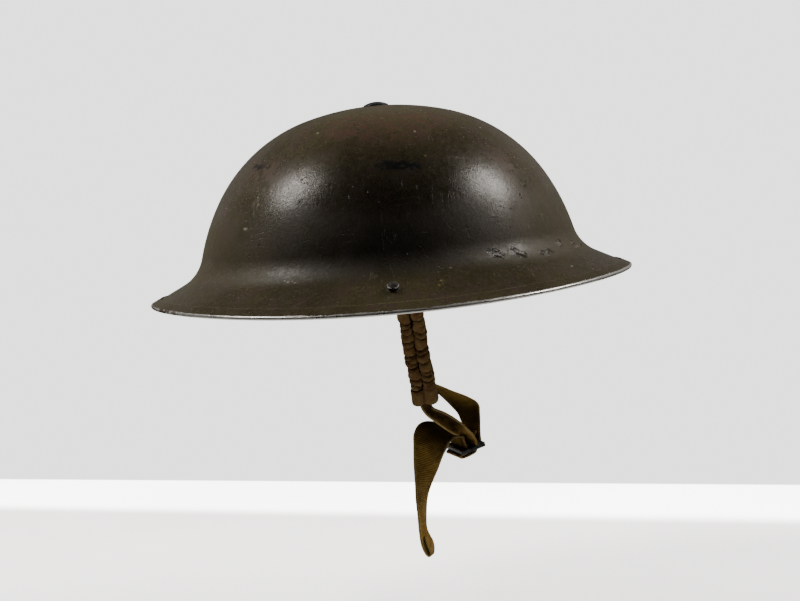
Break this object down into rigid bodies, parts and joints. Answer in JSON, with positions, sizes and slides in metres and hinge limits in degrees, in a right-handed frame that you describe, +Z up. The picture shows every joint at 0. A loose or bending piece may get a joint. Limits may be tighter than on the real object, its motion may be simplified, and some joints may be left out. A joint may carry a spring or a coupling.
{
  "type": "brodie helmet with chin strap",
  "caption": "Shallow round steel helmet with a broad drooping brim, a folded rim strip, a crown bolt and a fastened webbing chin strap with ruched sleeves and a slide buckle.",
  "frame": {"origin": "on the bowl's centre axis at the inner end of the crown bolt, where a head under the crown carries the helmet", "axes": "+X to the wearer's front, +Y to the wearer's left, +Z up, with the rim's front and rear tips level"},
  "size_m": [0.3046, 0.29, 0.2849],
  "materials": {
    "shell_paint": "semi-matt olive-brown paint, worn",
    "rim_steel": "worn paint over bright steel",
    "blackened_steel": "blackened, worn",
    "bare_steel": "dull",
    "sleeve_canvas": "ruched canvas",
    "webbing": "cross-ribbed cotton webbing"
  },
  "bodies": {
    "root": {"shell": "shell_paint", "rim_strip": "rim_steel", "crown_bolt": "blackened_steel", "crown_nut": "bare_steel", "strap_rivet_right": "shell_paint", "strap_rivet_left": "shell_paint", "strap_lug_right": "bare_steel", "strap_lug_left": "bare_steel", "top_tab_right": "webbing", "top_tab_left": "webbing", "spring_sleeve_right_front": "sleeve_canvas", "spring_sleeve_right_rear": "sleeve_canvas", "spring_sleeve_left_front": "sleeve_canvas", "spring_sleeve_left_rear": "sleeve_canvas", "chin_buckle": "blackened_steel", "chin_web_right": "webbing", "chin_web_left": "webbing"}
  },
  "joints": []
}
